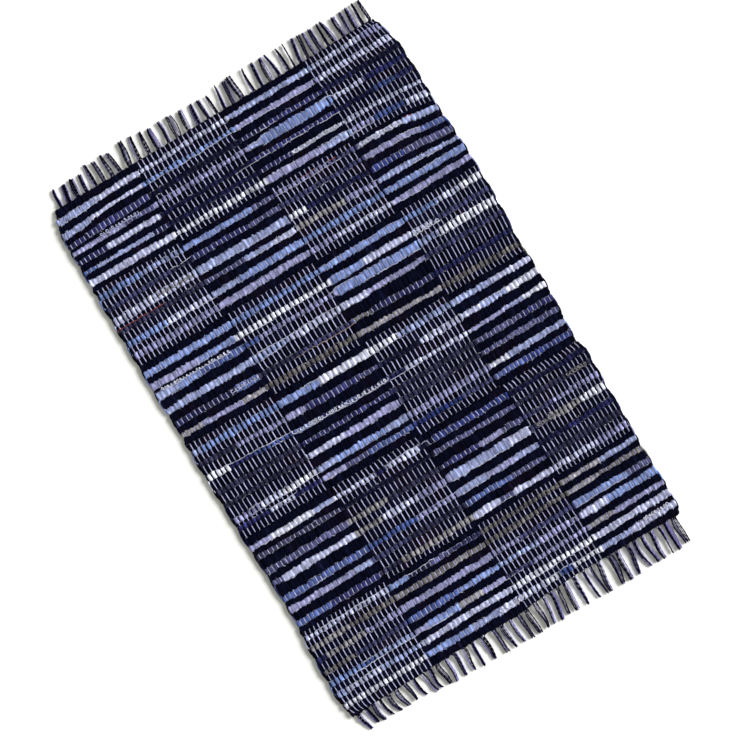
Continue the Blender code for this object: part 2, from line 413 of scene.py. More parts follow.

# One end's fringe: its piece, the comb it stands for, its stretches, the place of its first tuft,
# the seed of its tufts' small differences, the way out along y, how far its tufts bow, and the
# painted shade on its yarns: a factor that darkens all their colours, most at the head.
Fringe = namedtuple("Fringe", "piece comb stretches first seed outward bow light")
HEAD = Fringe(
    "fringe_yarns_head", "fringe_head", HEAD_FRINGE, -0.2810, 11, 1.0, bow=0.7 * MM, light=0.68
)
FOOT = Fringe(
    "fringe_yarns_foot", "fringe_foot", FOOT_FRINGE, -0.2852, 23, -1.0, bow=1.6 * MM, light=0.86
)

# How far the strands stop short of the combs' furthest tips
FRINGE_MARGIN = 1.0 * MM

# The strands: each warp end goes on through the fringe as two plies. GATHER is the share of the
# way over which the ends draw together into their tuft, from STRAND_START inside the end line.
# The pitch between strands is a share of STRAND_PITCH at the root, and grows or shrinks by a
# random share at the belly and the tip. TIP_SPREAD is in millimetres.
STRAND_RINGS = 24
STRAND_TURNS = 3.2
STRAND_PITCH = 1.95 * MM
ROOT_PITCH = 0.70
BELLY_PITCH = (0.1, 0.6)
TIP_PITCH = (-0.15, 0.3)
TIP_SPREAD = (-2.2, 0.6)
TUFT_TURN = 0.55
ROOT_TURN = 0.25
STRAND_START = 4.5 * MM
STRAND_START_HEIGHT = 1.3 * MM
STRAND_LOW = 1.70 * MM
STRAND_CREST = 1.7 * MM
CREST_AT = 0.20
CREST_REACH = 0.16
DARK_STRAND_LIFT = 1.0 * MM
STRAND_HUMP = 0.9 * MM
STRAND_WANDER = 0.45 * MM
STRAND_TONE = 0.12
GATHER = 0.15
PALE_PLY = 0.74 * MM
DARK_PLY = 1.02 * MM
PLY_OFFSET = 0.36 * MM
PLY_SPLAY = (1.15, 1.5, 2.1)
PLY_TAPER = (0.85, 0.6)

# The picture: the width of floor in view, the camera's turn and the point below it, the lens, the
# floor, the key light and the even fill
VIEW_SPAN = 1.1393
VIEW_TURN = math.radians(-30.75)
VIEW_CENTRE = (-0.0006, -0.0043)
LENS = 85.0
SENSOR = 36.0
FLOOR_HALF = 20.0
FLOOR_COLOUR = (0.90, 0.90, 0.89, 1.0)
KEY_ENERGY = 7.6
KEY_ANGLE = math.radians(34.0)
KEY_TILT = math.radians(65.0)
FILL_COLOUR = (1.0, 1.0, 0.92, 1.0)
FILL_STRENGTH = 0.40


# Helpers for numbers


def linear(dye):
    """A dye's colour as linear red, green and blue."""
    srgb = np.array(DYES[dye]) / 255.0
    return np.where(srgb <= 0.04045, srgb / 12.92, ((srgb + 0.055) / 1.055) ** 2.4)


def eased(part):
    """Shares of a change, held within 0 and 1 and eased at both ends."""
    part = np.clip(part, 0.0, 1.0)
    return part * part * (3.0 - 2.0 * part)


def wander(rows, points, knots):
    """Rows of values that wander smoothly within -1 and 1, through evenly placed random knots."""
    stops = CHANCE.uniform(-1.0, 1.0, (rows, knots))
    place = np.linspace(0.0, knots - 1.0, points)
    low = np.minimum(place.astype(int), knots - 2)
    part = eased(place - low)
    return stops[:, low] * (1.0 - part) + stops[:, low + 1] * part


def wander_line(points, knots):
    """One row of such values."""
    return wander(1, points, knots)[0]


def unit(vectors):
    """The vectors at length one."""
    return vectors / np.maximum(np.linalg.norm(vectors, axis=-1, keepdims=True), 1e-12)


# The body's outline, read from its CAD node


def floor_points():
    """The points of the body's outline on the floor."""
    points = np.array([vertex.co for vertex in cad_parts["rug_body"].data.vertices])
    return points[points[:, 2] < 1e-5]


OUTLINE = floor_points()
BODY_HIGH = np.array(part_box("rug_body")[1])


def selvedge_chain(side):
    """The y and x of the points down one selvedge, over the crests of its turns."""
    points = np.unique(OUTLINE[side * OUTLINE[:, 0] > NEAR_SELVEDGE * BODY_HIGH[0]], axis=0)
    points = points[np.argsort(points[:, 1])]
    reach = side * points[:, 0]
    crest = reach.copy()
    crest[1:-1] = np.maximum.reduce([reach[:-2], reach[1:-1], reach[2:]])
    return points[:, 1], side * crest


SELVEDGES = {side: selvedge_chain(side) for side in (-1.0, 1.0)}


def selvedge(side, along):
    """The x of the left (-1) or right (1) selvedge at each y."""
    return np.interp(along, *SELVEDGES[side])


def end_line(side, across):
    """The y of the foot (-1) or head (1) line at each x."""
    points = OUTLINE[side * OUTLINE[:, 1] > NEAR_END * BODY_HIGH[1]]
    corner = NEAR_CORNER * BODY_HIGH[0]
    inner = points[np.abs(points[:, 0]) < corner]
    left = points[points[:, 0] < -corner]
    right = points[points[:, 0] > corner]
    corners = [left[np.argmax(side * left[:, 1])], right[np.argmax(side * right[:, 1])]]
    line = np.vstack([inner, corners])
    line = line[np.argsort(line[:, 0])]
    return np.interp(across, line[:, 0], line[:, 1])


DRIFT_SHARES = [drift.share for drift in DRIFTS]


def place_x(share, along):
    """The x of a share of the width at each y. Only the outer ends draw in at the rug's corners."""
    calm = np.clip(along, -CORNER_START * BODY_HIGH[1], CORNER_START * BODY_HIGH[1])
    left = selvedge(-1.0, calm) + SELVEDGE_INSET
    right = selvedge(1.0, calm) - SELVEDGE_INSET
    draw_left = selvedge(-1.0, along) - selvedge(-1.0, calm)
    draw_left = draw_left * np.exp(-share / CORNER_SPREAD)
    draw_right = selvedge(1.0, along) - selvedge(1.0, calm)
    draw_right = draw_right * np.exp((share - 1.0) / CORNER_SPREAD)
    down = 0.5 - 0.5 * along / BODY_HIGH[1]
    head = np.interp(share, DRIFT_SHARES, [drift.head for drift in DRIFTS])
    foot = np.interp(share, DRIFT_SHARES, [drift.foot for drift in DRIFTS])
    drift = (head * (1.0 - down) + foot * down) * MM
    return left + (right - left) * share + drift + draw_left + draw_right


# The weave's lines


def rags_of(pick):
    """A pick's rags as (start share, dye, depth in metres)."""
    rags = []
    for words in pick.rags.split(","):
        start, dye, depth = words.split()
        rags.append((float(start) / 100.0, dye, float(depth) * MM))
    return rags


def pick_centre(pick, share):
    """The y of a coloured pick's middle line."""
    down = pick.at + pick.tilt * (share - 0.5)
    for sag in SAGS:
        near = math.exp(-((pick.at - sag.at) / sag.reach) ** 2)
        down = down + sag.drop * near * np.exp(-((share - sag.share) / sag.fade) ** 2)
    return HEAD_MIDDLE - down * MM


def pick_depth(pick, share):
    """A coloured pick's depth along it, easing from one rag to the next."""
    rags = rags_of(pick)
    depth = np.full_like(share, rags[0][2])
    for (_, _, before), (start, _, size) in zip(rags, rags[1:]):
        depth += (size - before) * eased((share - start) / RAG_JOIN + 0.5)
    return depth


def pick_colour(pick, share):
    """A coloured pick's linear colour along it."""
    colour = np.zeros((len(share), 3))
    for start, dye, _ in rags_of(pick):
        colour[share >= start - 1e-6] = linear(dye)
    return colour


def black_picks_before(number):
    """How many black picks lie above the coloured pick of this number, counted from 0."""
    row_starts = np.cumsum(BLOCK_ROWS)[:-1]
    return 2 if number in row_starts else 1


FRINGE_REACH = max(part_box("fringe_head")[1].y, -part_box("fringe_foot")[0].y) - FRINGE_MARGIN
SHARES = np.linspace(0.0, 1.0, STATIONS)
FLAT_X = place_x(SHARES, 0.0)


def weave_lines():
    """The lines between picks, from the head line to the foot line, and each pick's coloured pick.

    A pick with no coloured pick (None) is a black one.
    """
    lines = [end_line(1.0, FLAT_X)]
    picks = []
    stops = [*COLOURED_PICKS, None]
    for number, pick in enumerate(stops):
        above = lines[-1]
        if pick is None:
            below = end_line(-1.0, FLAT_X)
        else:
            centre = pick_centre(pick, SHARES)
            half = RAG_SQUEEZE * pick_depth(pick, SHARES) / 2.0
            below = centre + half
        count = black_picks_before(number)
        for step in range(1, count + 1):
            lines.append(above + (below - above) * step / count)
            picks.append(None)
        if pick is not None:
            lines.append(centre - half)
            picks.append(pick)
    lines = np.array(lines)
    inner = lines[1:-1]
    inner += LINE_BOW * wander(len(inner), STATIONS, knots=18)
    inner += LINE_RIPPLE * wander(len(inner), STATIONS, knots=72)
    for row in range(1, len(lines)):
        lines[row] = np.minimum(lines[row], lines[row - 1] - LEAST_PICK)
    return lines, picks


LINES, PICKS = weave_lines()
PICK_COUNT = len(PICKS)


def end_is_over(end, pick):
    """Whether an end lies over a pick, in plain weave."""
    return (end + pick) % 2 == 0


def pale_ends():
    """Which ends are pale: every second one inside a block."""
    pale = []
    for count in BLOCK_ENDS:
        pale += [place % 2 == 1 for place in range(count)]
    return np.array(pale)


PALE = pale_ends()
OVER = end_is_over(np.arange(ENDS)[None, :], np.arange(PICK_COUNT)[:, None])


# Mesh and material builders


def new_object(name, data):
    """A new object in the scene."""
    made = bpy.data.objects.new(name, data)
    bpy.context.scene.collection.objects.link(made)
    return made


def mesh_from(name, points, loops, starts, corners_uv, colours, material):
    """An object from arrays, with smooth faces, a dye for each point, and a map of flat strips."""
    mesh = bpy.data.meshes.new(name)
    mesh.vertices.add(len(points))
    mesh.vertices.foreach_set("co", points.astype(np.float32).ravel())
    mesh.loops.add(len(loops))
    mesh.loops.foreach_set("vertex_index", loops.astype(np.int32))
    mesh.polygons.add(len(starts))
    mesh.polygons.foreach_set("loop_start", starts.astype(np.int32))
    mesh.polygons.foreach_set("use_smooth", np.ones(len(starts), bool))
    mesh.update(calc_edges=True)
    dye = mesh.color_attributes.new("dye", "FLOAT_COLOR", "POINT")
    rgba = np.hstack([colours, np.ones((len(colours), 1))])
    dye.data.foreach_set("color", rgba.astype(np.float32).ravel())
    strips = mesh.uv_layers.new(name="OFBake")
    strips.uv.foreach_set("vector", corners_uv.astype(np.float32).ravel())
    mesh.materials.append(material)
    return new_object(name, mesh)


def tube_rings(centres, wide, thick, sides, square=1.0):
    """Rings of points about each tube's line: wide across it, and thick up from it."""
    along = unit(np.gradient(centres, axis=1))
    across = unit(np.cross(along, (0.0, 0.0, 1.0)))
    up = np.cross(across, along)
    angle = 2.0 * math.pi * (np.arange(sides) + 0.5) / sides
    cosine = np.sign(np.cos(angle)) * np.abs(np.cos(angle)) ** square
    sine = np.sign(np.sin(angle)) * np.abs(np.sin(angle)) ** square
    ring = centres[:, :, None, :]
    ring = ring + (wide * cosine)[..., None] * across[:, :, None, :]
    return ring + (thick * sine)[..., None] * up[:, :, None, :]


def tubes(name, centres, wide, thick, colours, material, sides, square=1.0):
    """Closed tubes as one object.

    centres is (tubes, rings, 3). wide and thick are half sizes that spread to (tubes, rings,
    sides), and colours spreads to (tubes, rings, sides, 3).
    """
    count, rings = centres.shape[:2]
    wide = np.broadcast_to(wide, (count, rings, sides)).copy()
    thick = np.broadcast_to(thick, (count, rings, sides)).copy()
    for end in (0, -1):
        wide[:, end] *= TUBE_END
        thick[:, end] *= TUBE_END
    points = tube_rings(centres, wide, thick, sides, square)
    points[..., 2] = np.maximum(points[..., 2], TUBE_FLOOR)
    colours = np.broadcast_to(colours, (count, rings, sides, 3)).reshape(-1, 3)

    tube, ring, side = np.meshgrid(
        np.arange(count), np.arange(rings - 1), np.arange(sides), indexing="ij"
    )
    following = (side + 1) % sides
    corners = ((ring, side), (ring + 1, side), (ring + 1, following), (ring, following))
    quads = np.stack([(tube * rings + row) * sides + place for row, place in corners], -1)
    quads = quads.reshape(-1, 4)
    left = (tube + side / sides) / count
    right = (tube + (side + 1) / sides) / count
    low = ring / (rings - 1)
    high = (ring + 1) / (rings - 1)
    corners = ((left, low), (left, high), (right, high), (right, low))
    quad_uv = np.stack([np.stack(corner, -1) for corner in corners], -2).reshape(-1, 2)
    first = np.arange(count)[:, None] * rings * sides + np.arange(sides)
    last = first[:, ::-1] + (rings - 1) * sides
    caps = np.concatenate([first, last])
    cap_uv = np.zeros((caps.size, 2))
    cap_uv[:, 0] = (np.repeat(np.tile(np.arange(count), 2), sides) + 0.5) / count
    cap_uv[: caps.size // 2, 1] = 0.001
    cap_uv[caps.size // 2:, 1] = 0.999
    loops = np.concatenate([quads.ravel(), caps.ravel()])
    starts = np.concatenate(
        [np.arange(len(quads)) * 4, quads.size + np.arange(len(caps)) * sides]
    )
    corners_uv = np.concatenate([quad_uv, cap_uv])
    return mesh_from(
        name, points.reshape(-1, 3), loops, starts, corners_uv, colours, material
    )


def node(tree, kind, inputs=(), **settings):
    """A shader node with some of its inputs and properties set."""
    made = tree.nodes.new(kind)
    for key, value in settings.items():
        setattr(made, key, value)
    for key, value in dict(inputs).items():
        made.inputs[key].default_value = value
    return made


def yarn_material(name, stretch, spread, weave_scale, weave_share, bump, roughness):
    """Matt yarn or rag cloth in its points' own dyes.

    stretch scales the fibre noise along x, y and z, spread is how far the fibres vary in tone,
    and the weave is a fine diagonal twill that lightens the cloth by weave_share.
    """
    material = bpy.data.materials.new(name)
    material.use_nodes = True
    tree = material.node_tree
    shader = tree.nodes["Principled BSDF"]
    shader.inputs["Roughness"].default_value = roughness
    shader.inputs["Specular IOR Level"].default_value = YARN_SHINE
    dye = node(tree, "ShaderNodeAttribute", attribute_name="dye")
    place = node(tree, "ShaderNodeTexCoord")
    mapping = node(tree, "ShaderNodeMapping", {"Scale": stretch})
    fibres = node(tree, "ShaderNodeTexNoise", {"Scale": 1.0, "Detail": 3.0, "Roughness": 0.6})
    tones = {"From Min": 0.3, "From Max": 0.7, "To Min": 1.0 - spread, "To Max": 1.0 + spread}
    tone = node(tree, "ShaderNodeMapRange", tones)
    waves = {"Scale": weave_scale, "Distortion": 1.5, "Detail": 2.0}
    twill = node(tree, "ShaderNodeTexWave", waves, bands_direction="DIAGONAL")
    twill_tones = {"To Min": 1.0 - weave_share, "To Max": 1.0 + weave_share}
    twill_tone = node(tree, "ShaderNodeMapRange", twill_tones)
    both = node(tree, "ShaderNodeMath", operation="MULTIPLY")
    shade = node(tree, "ShaderNodeVectorMath", operation="SCALE")
    height = node(tree, "ShaderNodeMath", operation="ADD")
    relief = node(tree, "ShaderNodeBump", {"Strength": bump, "Distance": RELIEF_DEPTH})
    link = tree.links.new
    link(place.outputs["Object"], mapping.inputs["Vector"])
    link(mapping.outputs["Vector"], fibres.inputs["Vector"])
    link(place.outputs["Object"], twill.inputs["Vector"])
    link(fibres.outputs["Fac"], tone.inputs["Value"])
    link(twill.outputs["Fac"], twill_tone.inputs["Value"])
    link(tone.outputs["Result"], both.inputs[0])
    link(twill_tone.outputs["Result"], both.inputs[1])
    link(dye.outputs["Color"], shade.inputs[0])
    link(both.outputs["Value"], shade.inputs["Scale"])
    link(shade.outputs["Vector"], shader.inputs["Base Color"])
    link(fibres.outputs["Fac"], height.inputs[0])
    link(twill.outputs["Fac"], height.inputs[1])
    link(height.outputs["Value"], relief.inputs["Height"])
    link(relief.outputs["Normal"], shader.inputs["Normal"])
    return material


RAG_CLOTH = yarn_material(
    "rag_cloth", stretch=(140.0, 900.0, 900.0), spread=0.16,
    weave_scale=350.0, weave_share=0.08, bump=0.5, roughness=0.92,
)
BLACK_CLOTH = yarn_material(
    "black_rag_cloth", stretch=(160.0, 1000.0, 1000.0), spread=0.30,
    weave_scale=420.0, weave_share=0.15, bump=0.5, roughness=0.95,
)
WARP_YARN = yarn_material(
    "warp_yarn", stretch=(900.0, 220.0, 900.0), spread=0.14,
    weave_scale=260.0, weave_share=0.10, bump=0.6, roughness=0.9,
)
FRINGE_YARN = yarn_material(
    "fringe_yarn", stretch=(800.0, 260.0, 800.0), spread=0.18,
    weave_scale=300.0, weave_share=0.08, bump=0.6, roughness=0.9,
)
LOOSE_THREAD = yarn_material(
    "loose_thread", stretch=(500.0, 500.0, 500.0), spread=0.12,
    weave_scale=400.0, weave_share=0.05, bump=0.4, roughness=0.9,
)


def toned(colours, rings, spread, knots):
    """A colour for each ring of each tube, which wanders in tone along the tube."""
    tone = 1.0 + spread * wander(len(colours), rings, knots)[..., None, None]
    return np.array(colours)[:, None, None, :] * tone


def join_rug(piece):
    """Make a piece ride with the rug, under its root body."""
    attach(piece, "root")
    return piece


# The warp


def warp_lines():
    """Every end's line through the picks: three points in each pick, and one at each end line."""
    crossings = LINES[:, 1::2]
    along = [crossings[0] - WARP_STOP]
    height = [np.full(ENDS, WARP_UNDER)]
    for pick in range(PICK_COUNT):
        for part in CROSSING_POINTS:
            crown = part == CROWN
            high = WARP_OVER if crown else WARP_OVER_SHOULDER
            low = WARP_UNDER if crown else WARP_UNDER_SHOULDER
            along.append(crossings[pick] * (1.0 - part) + crossings[pick + 1] * part)
            height.append(np.where(OVER[pick], high, low))
    along.append(crossings[-1] + WARP_STOP)
    height.append(np.full(ENDS, WARP_UNDER))
    along = np.array(along).T
    height = np.array(height).T
    share = (np.arange(ENDS)[:, None] + 0.5) / ENDS
    across = place_x(share, along) + WARP_WANDER * wander(ENDS, along.shape[1], knots=34)
    return np.stack([across, along, height], -1)


def make_warp():
    """The pale ends in one piece, and the dark ones in another."""
    lines = warp_lines()
    rings = lines.shape[1]
    groups = {
        "warp_pale": (np.flatnonzero(PALE), "end_pale", PALE_HALF_WIDE, 5),
        "warp_dark": (np.flatnonzero(~PALE), "end_dark", DARK_HALF_WIDE, 4),
    }
    pieces = []
    for name, (ends, dye, half_wide, sides) in groups.items():
        count = len(ends)
        swell = 1.0 + WARP_SWELL * wander(count, rings, knots=90)[..., None]
        tone = 1.0 + WARP_TONE * wander(count, rings, knots=70)[..., None, None]
        tone = tone * (1.0 + END_TONE * CHANCE.uniform(-1.0, 1.0, (count, 1, 1, 1)))
        piece = tubes(
            name,
            lines[ends],
            half_wide * swell,
            WARP_HALF_THICK * swell,
            linear(dye) * tone,
            WARP_YARN,
            sides,
        )
        pieces.append(join_rug(piece))
    return pieces


# The rags


def rag_lines(numbers):
    """Each pick's line and half depth: dented where an end lies over it, bulging between."""
    top = LINES[:-1][numbers]
    bottom = LINES[1:][numbers]
    along = (top + bottom) / 2.0
    half = (top - bottom) / 2.0 * RAG_OVERLAP
    dent = np.zeros_like(along)
    dent[:, 1::2] = np.where(OVER[numbers], 1.0, -1.0)
    height = RAG_MIDDLE - RAG_SWING * dent
    across = place_x(SHARES[None, :], along)
    return np.stack([across, along, height], -1), half * (1.0 - RAG_PINCH * dent), dent


def make_rags(name, numbers, colours, material, sides, wear):
    """One kind of pick: rags with folds, slack, tone, painted shade, and wear at their frayed
    edges.

    wear is how far the edges fade towards white at most, one value for each pick and station.
    """
    numbers = np.array(numbers)
    lines, half, dent = rag_lines(numbers)
    count = len(numbers)
    folds = np.stack([wander(count, STATIONS, knots=46) for _ in range(sides)], -1)
    creases = np.stack([wander(count, STATIONS, knots=130) for _ in range(sides)], -1)
    tufted = CHANCE.uniform(-1.0, 1.0, (count, STATIONS, sides))
    swell = 1.0 + FOLD_SWELL * folds + CREASE_SWELL * creases + TUFT_SWELL * tufted
    thick = RAG_HALF_THICK * (1.0 - RAG_FLATTEN * dent[..., None]) * swell
    spots = CHANCE.normal(0.0, 1.0, (count, STATIONS))
    # Painted shade: where folds, creases and tufts swell the rag it is drawn lighter, where they
    # sink it darker
    shade = FOLD_SHADE * folds + CREASE_SHADE * creases + TUFT_SHADE * tufted
    fleck = FLECK + DARK_FLECK * np.clip(1.0 - 8.0 * colours.mean(-1), 0.0, 1.0)
    shade = shade + (SLOW_SHADE * wander(count, STATIONS, knots=24) + fleck * spots)[..., None]
    cloth = colours[:, :, None, :] * np.exp(shade)[..., None]
    angle = 2.0 * math.pi * (np.arange(sides) + 0.5) / sides
    lean = 0.5 + 0.5 * np.sign(np.cos(angle)) * wander(count, STATIONS, knots=16)[..., None]
    loose = CHANCE.uniform(0.0, 1.0, (count, STATIONS, sides)) ** 1.5
    fray = np.abs(np.cos(angle)) ** 2 * lean * loose
    fade = (wear[..., None] * fray)[..., None]
    cloth = cloth * (1.0 - fade) + linear("white") * fade
    return tubes(name, lines, half[..., None] * swell, thick, cloth, material, sides, RAG_SQUARE)


def make_weft():
    """The coloured picks as one piece, which stands for the body, and the black ones as another."""
    coloured = [number for number, pick in enumerate(PICKS) if pick is not None]
    black = [number for number, pick in enumerate(PICKS) if pick is None]
    dyes = np.array([pick_colour(PICKS[number], SHARES) for number in coloured])
    wear = np.clip(LEAST_WEAR + WEAR_FOR_PALENESS * dyes.mean(-1), 0.0, MOST_WEAR)
    denim = make_rags("weft_denim", coloured, dyes, RAG_CLOTH, 8, wear)
    shade = np.clip(wander(len(black), STATIONS, knots=20) - 0.35, 0.0, 1.0)[..., None]
    night = linear("black") * (1.0 - shade) + linear("wine") * shade
    rest = make_rags("weft_black", black, night, BLACK_CLOTH, 6, np.zeros((len(black), STATIONS)))
    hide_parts("rug_body")
    join_rug(denim)
    join_rug(rest)
    return denim, rest


def pick_end_colour(number, side):
    """A pick's colour at its left (-1) or right (1) end."""
    if PICKS[number] is None:
        return linear("black")
    return pick_colour(PICKS[number], SHARES)[0 if side < 0 else -1]


def make_turns():
    """The rags' turns at the selvedges: each carries a shuttle's rag past one pick to the next."""
    part = np.linspace(0.0, 1.0, TURN_RINGS)
    lines = []
    colours = []
    shuttle_side = {True: 1, False: 1}
    last_pick = {}
    for number, pick in enumerate(PICKS):
        black = pick is None
        if black in last_pick:
            start = last_pick[black]
            side = shuttle_side[black]
            station = -1 if side > 0 else 0
            upper = (LINES[start][station] + LINES[start + 1][station]) / 2.0
            lower = (LINES[number][station] + LINES[number + 1][station]) / 2.0
            along = upper * (1.0 - part) + lower * part
            along -= TURN_EASE * (lower - upper) * np.sin(2.0 * math.pi * part)
            inner = place_x(0.0 if side < 0 else 1.0, along) - side * TURN_TUCK
            outer = selvedge(side, along) - side * TURN_INSET
            bend = np.sin(math.pi * part) ** 0.6
            across = inner * (1.0 - bend) + outer * bend
            lift = TURN_LIFT * np.sin(math.pi * part) * CHANCE.uniform(-1.0, 1.0)
            lines.append(np.stack([across, along, TURN_HEIGHT + lift], -1))
            colours.append(pick_end_colour(start, side))
            shuttle_side[black] = -side
        last_pick[black] = number
    lines = np.array(lines)
    swell = 1.0 + TURN_UNEVEN * wander(len(lines), TURN_RINGS, knots=6)[..., None]
    cloth = toned(colours, TURN_RINGS, TURN_UNEVEN, knots=5)
    wide = TURN_HALF_WIDE * swell
    thick = TURN_HALF_THICK * swell
    piece = tubes("rag_turns", lines, wide, thick, cloth, RAG_CLOTH, 6)
    return join_rug(piece)


# The fringe


def tufts(fringe):
    """Each tuft's place across, lean and reach, as the part's comb has them."""
    chance = random.Random(fringe.seed)
    across = fringe.first
    for stretch in fringe.stretches:
        for _ in range(stretch.tufts):
            sway = chance.uniform(-TUFT_SWAY, TUFT_SWAY)
            reach = stretch.reach + chance.uniform(-TUFT_REACH_SPREAD, TUFT_REACH_SPREAD)
            yield across, stretch.lean + sway, reach
            across += stretch.pitch


def tuft_of_ends(places, edge):
    """Each warp end's x, and the tuft it is drawn into: the nearest one along the body's edge."""
    stops = np.array([across for across, _, _ in places])
    ends_x = place_x((np.arange(ENDS) + 0.5) / ENDS, edge[1::2])
    return ends_x, np.searchsorted((stops[1:] + stops[:-1]) / 2.0, ends_x)


def strand_order(ends):
    """The order of a tuft's strands from left to right: its dark ones mostly lie together."""
    pale = PALE[ends].astype(float)
    style = CHANCE.integers(5)
    if style == 0:
        return np.argsort(pale, kind="stable")
    if style == 1:
        return np.argsort(-pale, kind="stable")
    if style == 2:
        return np.argsort(pale * (-1.0) ** np.cumsum(pale), kind="stable")
    if style == 3:
        return np.argsort((1.0 - pale) * (-1.0) ** np.cumsum(1.0 - pale), kind="stable")
    return np.arange(len(ends))


def strand_lines(fringe):
    """Each end's line through the fringe.

    The ends are drawn together under the last pick, and then lie side by side out along their
    tuft, which bows to one side and turns over a little.
    """
    outward = fringe.outward
    places = list(tufts(fringe))
    edge = LINES[0] if outward > 0.0 else LINES[-1]
    ends_x, tuft_of_end = tuft_of_ends(places, edge)
    part = np.linspace(0.0, 1.0, STRAND_RINGS)
    gather = eased(part / GATHER)
    crest = STRAND_CREST * np.exp(-((part - CREST_AT) / CREST_REACH) ** 2)
    lines = np.zeros((ENDS, STRAND_RINGS, 3))
    for tuft, (across, lean, reach) in enumerate(places):
        ends = np.flatnonzero(tuft_of_end == tuft)
        tip_y = outward * min(abs(float(end_line(outward, across))) + reach, FRINGE_REACH)
        axis = across + lean * part ** 1.5
        axis = axis + fringe.bow * CHANCE.normal(0.0, 1.0) * np.sin(math.pi * part)
        axis = axis + 0.4 * fringe.bow * CHANCE.normal(0.0, 1.0) * np.sin(2.0 * math.pi * part)
        turn = CHANCE.normal(0.0, TUFT_TURN) * part + CHANCE.normal(0.0, ROOT_TURN)
        pitch = ROOT_PITCH + CHANCE.uniform(*BELLY_PITCH) * np.sin(math.pi * part ** 0.8)
        pitch = STRAND_PITCH * (pitch + CHANCE.uniform(*TIP_PITCH) * part)
        for slot, end in enumerate(ends[strand_order(ends)]):
            offset = (slot - (len(ends) - 1) / 2.0) * pitch
            start_y = edge[2 * end + 1] - outward * STRAND_START
            stop_y = tip_y + outward * CHANCE.uniform(*TIP_SPREAD) * MM
            sway = STRAND_WANDER * wander_line(STRAND_RINGS, knots=6) * part
            x = axis + offset * np.cos(turn) + sway
            lines[end, :, 0] = ends_x[end] * (1.0 - gather) + x * gather
            lines[end, :, 1] = start_y * (1.0 - part) + stop_y * part
            height = STRAND_LOW + crest + (0.0 if PALE[end] else DARK_STRAND_LIFT)
            height = height + STRAND_HUMP * np.clip(wander_line(STRAND_RINGS, knots=6), 0.0, 1.0)
            height = height + 0.5 * np.abs(offset * np.sin(turn))
            lines[end, :, 2] = STRAND_START_HEIGHT * (1.0 - gather) + height * gather
    return lines


def make_fringe(fringe):
    """One end's fringe: each warp end goes on as two plies that twist about each other."""
    lines = strand_lines(fringe)
    twist = 2.0 * math.pi * STRAND_TURNS * np.linspace(0.0, 1.0, STRAND_RINGS)
    phase = CHANCE.uniform(0.0, 2.0 * math.pi, (ENDS, 1))
    splay = np.ones(STRAND_RINGS)
    splay[-len(PLY_SPLAY):] = PLY_SPLAY
    plies = []
    for ply in (0.0, math.pi):
        angle = twist + phase + ply
        x = PLY_OFFSET * splay * np.cos(angle)
        z = PLY_OFFSET * np.sin(angle)
        plies.append(lines + np.stack([x, np.zeros_like(angle), z], -1))
    lines = np.concatenate(plies)
    pale = np.tile(PALE, 2)[:, None]
    dyes = np.where(pale, linear("tuft_pale"), linear("tuft_dark"))
    # Painted shade: every strand's colour is darkened by the fringe's painted shade factor
    colours = toned(dyes, STRAND_RINGS, STRAND_TONE, knots=6) * fringe.light
    taper = np.ones(STRAND_RINGS)
    taper[-len(PLY_TAPER):] = PLY_TAPER
    radius = (np.where(pale, PALE_PLY, DARK_PLY) * taper)[..., None]
    piece = tubes(fringe.piece, lines, radius, radius, colours, FRINGE_YARN, 4)
    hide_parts(fringe.comb)
    return join_rug(piece)


# Loose threads


def pick_number(place):
    """A coloured pick's number among all the picks, from its number among the coloured ones."""
    return [number for number, pick in enumerate(PICKS) if pick is COLOURED_PICKS[place]][0]


def fray_line(fray):
    """A frayed thread's line, wriggling along the edge of its pick."""
    number = pick_number(fray.pick - 1)
    edge = LINES[number + 1] if fray.side > 0 else LINES[number]
    share = np.linspace(fray.start, fray.stop, FRAY_RINGS)
    along = np.interp(share, SHARES, edge) + fray.side * 0.5 * MM
    along = along + 0.7 * MM * wander_line(FRAY_RINGS, knots=28)
    along = along + 0.6 * MM * wander_line(FRAY_RINGS, knots=9)
    height = FRAY_HEIGHT + 0.45 * MM * wander_line(FRAY_RINGS, knots=30)
    return np.stack([place_x(share, along), along, height], -1)


def curl_line(curl):
    """A frayed thread's line in small loops along its pick."""
    number = pick_number(curl.pick - 1)
    top = LINES[number]
    bottom = LINES[number + 1]
    edge = (top + bottom) / 2.0 - curl.side * 0.46 * (top - bottom)
    share = np.linspace(curl.start, curl.stop, CURL_RINGS)
    along = np.interp(share, SHARES, edge)
    length = (curl.stop - curl.start) * 2.0 * BODY_HIGH[0]
    phase = 2.0 * math.pi * length / CURL_PITCH * np.linspace(0.0, 1.0, CURL_RINGS)
    phase = phase + 1.5 * wander_line(CURL_RINGS, knots=20)
    radius = CURL_RADIUS * (1.0 + 0.5 * wander_line(CURL_RINGS, knots=24))
    across = place_x(share, along) + radius * np.cos(phase)
    height = CURL_HEIGHT + 0.5 * MM * np.sin(0.5 * phase)
    return np.stack([across, along + radius * np.sin(phase), height], -1)


def make_curls():
    """The springy loops of frayed thread on some rags."""
    lines = np.array([curl_line(curl) for curl in CURLS])
    colours = toned([linear(curl.dye) for curl in CURLS], CURL_RINGS, THREAD_TONE, knots=60)
    piece = tubes("curled_threads", lines, CURL_THREAD, CURL_THREAD, colours, LOOSE_THREAD, 3)
    return join_rug(piece)


def random_frays(count):
    """More frayed threads, anywhere on rags of the fraying dyes."""
    frays = []
    while len(frays) < count:
        place = int(CHANCE.integers(len(COLOURED_PICKS)))
        start = CHANCE.uniform(0.02, 0.88)
        rag = [dye for at, dye, _ in rags_of(COLOURED_PICKS[place]) if at <= start][-1]
        side = int(CHANCE.choice((-1, 1)))
        stop = start + CHANCE.uniform(0.03, 0.10)
        if rag in FRAYING_DYES:
            frays.append(Fray(place + 1, side, start, stop, "pale" if rag == "slate" else "white"))
    return frays


